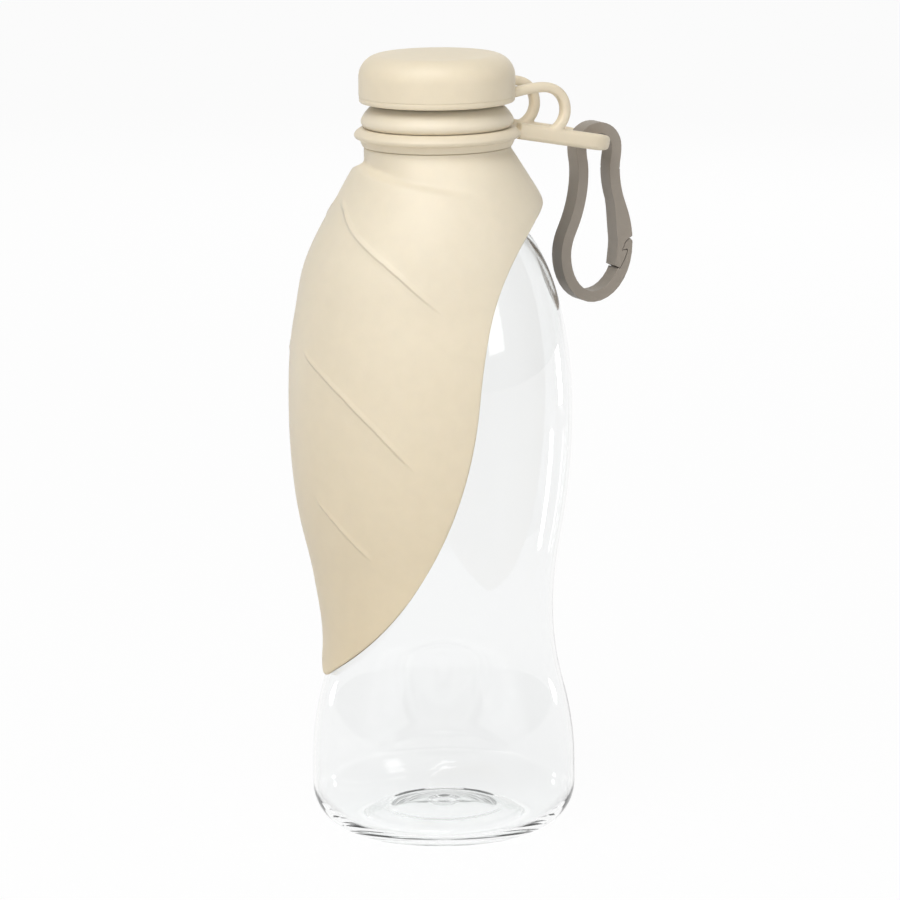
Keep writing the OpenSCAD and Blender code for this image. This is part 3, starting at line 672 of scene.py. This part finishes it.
# The cap
# A soft silicone shell is moulded over a hard cream core, whose tapered stopper plugs the
# spout, with a washer that seals on the spout's rim.
cap_foot, cap_top = (corner.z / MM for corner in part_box("cap_shell"))
cap_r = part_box("cap_shell")[1].x / MM
core_r = cap_r - 2.1
cap_edge = 6.4
crown_h = 0.6
turn = np.radians(np.linspace(0, 90, 22))
edge_r = cap_r - cap_edge + cap_edge * np.cos(turn)
edge_z = cap_top - crown_h - cap_edge + cap_edge * np.sin(turn)
crown_r = np.linspace(cap_r - cap_edge, 0, 22)[1:]
crown_z = cap_top - crown_h * (crown_r / (cap_r - cap_edge)) ** 2
shell_line = np.concatenate([
    [[core_r, cap_foot], [cap_r - 0.9, cap_foot], [cap_r - 0.42, cap_foot + 0.12],
     [cap_r - 0.16, cap_foot + 0.42], [cap_r - 0.1, cap_foot + 1.4],
     [cap_r - 0.17, cap_foot + 1.62], [cap_r - 0.02, cap_foot + 1.84], [cap_r, cap_foot + 2.1]],
    np.stack([edge_r, edge_z], axis=-1),
    np.stack([crown_r, crown_z], axis=-1),
    [[0, cap_top - 2.7], [core_r, cap_top - 2.7]]])
cap = lathe("cap_cover", shell_line[:, 0], shell_line[:, 1], columns=192, sharp_angle=50)
cap.data.materials.append(beige)
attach(cap, "cap")
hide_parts("cap_shell")
dress("cap_core", cream)
dress("cap_seal", milky)

# The carabiner
# A pear-shaped snap hook of taupe nylon. Its frame ends in a barbed hook at the latch, and its
# sprung gate closes on it. Both have slightly rounded edges.


def eased_copy(node, name, radius):
    """A copy of a CAD node with its points merged, its flat faces whole and its edges eased by
    a bevel."""
    piece = bpy.data.objects.new(name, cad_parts[node].data.copy())
    bpy.context.scene.collection.objects.link(piece)
    shape = bmesh.new()
    shape.from_mesh(piece.data)
    bmesh.ops.remove_doubles(shape, verts=shape.verts, dist=1e-6)
    flat = math.radians(1.5)
    bmesh.ops.dissolve_limit(shape, angle_limit=flat, verts=shape.verts, edges=shape.edges)
    shape.to_mesh(piece.data)
    shape.free()
    piece.data.shade_smooth()
    bevel = piece.modifiers.new("eased edges", "BEVEL")
    bevel.width = radius * MM
    bevel.segments = 3
    bevel.limit_method = "ANGLE"
    bevel.angle_limit = math.radians(38)
    bevel.harden_normals = True
    piece.data.set_sharp_from_angle(angle=math.radians(38))
    return piece


taupe = moulded("taupe_plastic", srgb(150, 141, 130), 0.5, 0.2)
for node, name, body in (("carabiner_frame", "carabiner_hook", "carabiner"),
                         ("carabiner_gate", "carabiner_snap_gate", "gate")):
    piece = eased_copy(node, name, 0.45)
    piece.data.materials.clear()
    piece.data.materials.append(taupe)
    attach(piece, body)
    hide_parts(node)

# The gate flexes at its root, where one skin runs on from the frame into the gate. It follows
# the line of both, a hair wider than they are, and draws in at its ends
head_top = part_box("carabiner_frame")[1].z / MM
neck_end = head_top - 14.016
z = np.linspace(head_top - 10.8, head_top - 18.6, 40)
upper = 5.7 - 0.6 * s_curve(np.clip((head_top - 7.3 - z) / 6.716, 0, 1), 0.5)
lower = 5.1 + 4.151 * s_curve(np.clip((neck_end - z) / 21.67, 0, 1), 0.5)
x = bar_x + np.where(z > neck_end, upper, lower)
fit = 1 - 0.05 * smooth_step(0.85, 1.0, np.abs(np.linspace(-1, 1, 40)))
half_x = 1.6
half_y = 3.0
ease_r = 0.45
corner = np.radians(np.arange(0, 91, 15))
quarter = np.stack([(half_x - ease_r + ease_r * np.cos(corner)) / half_x,
                    (half_y - ease_r + ease_r * np.sin(corner)) / half_y], axis=-1)
section = np.concatenate([quarter, quarter[::-1] * [-1, 1],
                          quarter * -1, quarter[::-1] * [1, -1]])
root = sweep("carabiner_root", np.stack([x, 0 * x, z], axis=-1), section,
             1.64 * fit, 3.04 * fit, np.array([[1.0, 0.0, 0.0]]))
root.data.materials.append(taupe)
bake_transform(root)

# The table, the light and the camera
# The bottle stands on a white sweep under soft daylight from above and in front, with a fill
# behind, a window at the right and a small low light at each side. The camera is fitted to the
# photograph's outlines.


studio, tree, _ = start_material("white_sweep")
paint = tree.node("BsdfDiffuse", inputs={"Color": (0.86, 0.86, 0.86, 1)})
glow = tree.node("Emission", inputs={"Color": (1, 1, 1, 1), "Strength": 1.0})
seen = (0.95 * share_of_rays(tree, "Is Camera Ray")
        + 0.82 * share_of_rays(tree, "Is Transmission Ray", "Is Glossy Ray"))
end_material(tree, tree.node("MixShader", inputs={0: seen, 1: paint, 2: glow}))
bpy.ops.mesh.primitive_circle_add(vertices=96, radius=3.0, fill_type="NGON")
table = bpy.context.object
table.name = "white_table"
table.data.transform(table.matrix_world)
table.matrix_world.identity()
table.data.materials.append(studio)

# The camera sees a white world. In clear and shiny faces it is lightest behind the bottle and
# darkest at its sides, and all other faces get a dim light from it.
world = bpy.data.worlds.new("daylight")
bpy.context.scene.world = world
world.use_nodes = True
world.node_tree.nodes.clear()
sky = Wire(world.node_tree)
way = sky.node("TexCoord", output="Generated")
split = sky.node("SeparateXYZ", inputs={"Vector": way}).socket.node.outputs
behind = Wire(world.node_tree, split["X"]) * 0.438 + Wire(world.node_tree, split["Y"]) * 0.899
stops = [(0.0, (0.6, 0.61, 0.6)), (0.3, (0.6, 0.61, 0.61)), (0.52, (0.42, 0.43, 0.43)),
         (0.74, (0.66, 0.68, 0.67)), (0.95, (0.85, 0.87, 0.86))]
tone = sky.node("ValToRGB", {"stops": stops}, {"Fac": behind * 0.5 + 0.5})
white = sky.node("Background", inputs={"Color": (1, 1, 1, 1), "Strength": 1.0})
through = sky.node("Background", inputs={"Color": tone, "Strength": 1.0})
room = sky.node("Background", inputs={"Color": (1.0, 0.99, 0.97, 1), "Strength": 0.3})
clear_rays = share_of_rays(sky, "Is Transmission Ray", "Is Glossy Ray")
unseen = sky.node("MixShader", inputs={0: clear_rays, 1: room, 2: through})
daylight = sky.node("MixShader", inputs={
    0: share_of_rays(sky, "Is Camera Ray"), 1: unseen, 2: white})
sky.node("OutputWorld", inputs={"Surface": daylight})


def soft_box(name, place, target, wide, high, power, mirrored):
    """A flat lamp at a place in metres that faces its target. It shows in shiny and clear
    faces, or not."""
    lamp = bpy.data.lights.new(name, "AREA")
    lamp.shape = "RECTANGLE"
    lamp.size = wide
    lamp.size_y = high
    lamp.energy = power
    made = bpy.data.objects.new(name, lamp)
    bpy.context.scene.collection.objects.link(made)
    ahead = np.array(target) - np.array(place)
    made.location = place
    made.rotation_euler = Vector(ahead).to_track_quat("-Z", "Y").to_euler()
    made.visible_glossy = mirrored
    made.visible_transmission = mirrored


soft_box("key", (-0.5, -0.48, 1.15), (0, 0, 0.13), 0.8, 0.8, 10.6, True)
soft_box("front_fill", (-1.0, -0.85, 0.35), (0, 0, 0.1), 0.9, 0.7, 2.8, False)
soft_box("back_fill", (0.75, 1.05, 0.7), (0, 0, 0.1), 0.9, 0.9, 5.0, False)
soft_box("window", (0.34, -0.68, 0.44), (0, 0, 0.14), 0.22, 0.44, 0.8, True)
soft_box("right_strip", (0.74, 0.16, 0.05), (0, 0, 0.04), 0.07, 0.10, 0.2, True)
soft_box("left_strip", (-0.33, 0.69, 0.05), (0, 0, 0.04), 0.07, 0.10, 0.2, True)

eye = np.array([-569.9, -1168.4, 372.0]) * MM
aim = np.array([2.43, -1.18, 110.26]) * MM
roll = -0.0098
ahead = (aim - eye) / np.linalg.norm(aim - eye)
right = np.cross(ahead, [0, 0, 1])
right /= np.linalg.norm(right)
up = np.cross(right, ahead)
tilted_right = math.cos(roll) * right + math.sin(roll) * up
tilted_up = math.cos(roll) * up - math.sin(roll) * right
lens = bpy.data.cameras.new("photo_view")
lens.sensor_width = 36.0
lens.lens = 184.76
camera = bpy.data.objects.new("photo_view", lens)
bpy.context.scene.collection.objects.link(camera)
camera.matrix_world = Matrix([
    [tilted_right[0], tilted_up[0], -ahead[0], eye[0]],
    [tilted_right[1], tilted_up[1], -ahead[1], eye[1]],
    [tilted_right[2], tilted_up[2], -ahead[2], eye[2]],
    [0, 0, 0, 1]])
scene = bpy.context.scene
scene.camera = camera
scene.view_settings.view_transform = "Standard"
# The clear heel turns dark with fewer bounces
scene.cycles.max_bounces = 20
scene.cycles.glossy_bounces = 12
scene.cycles.transmission_bounces = 16
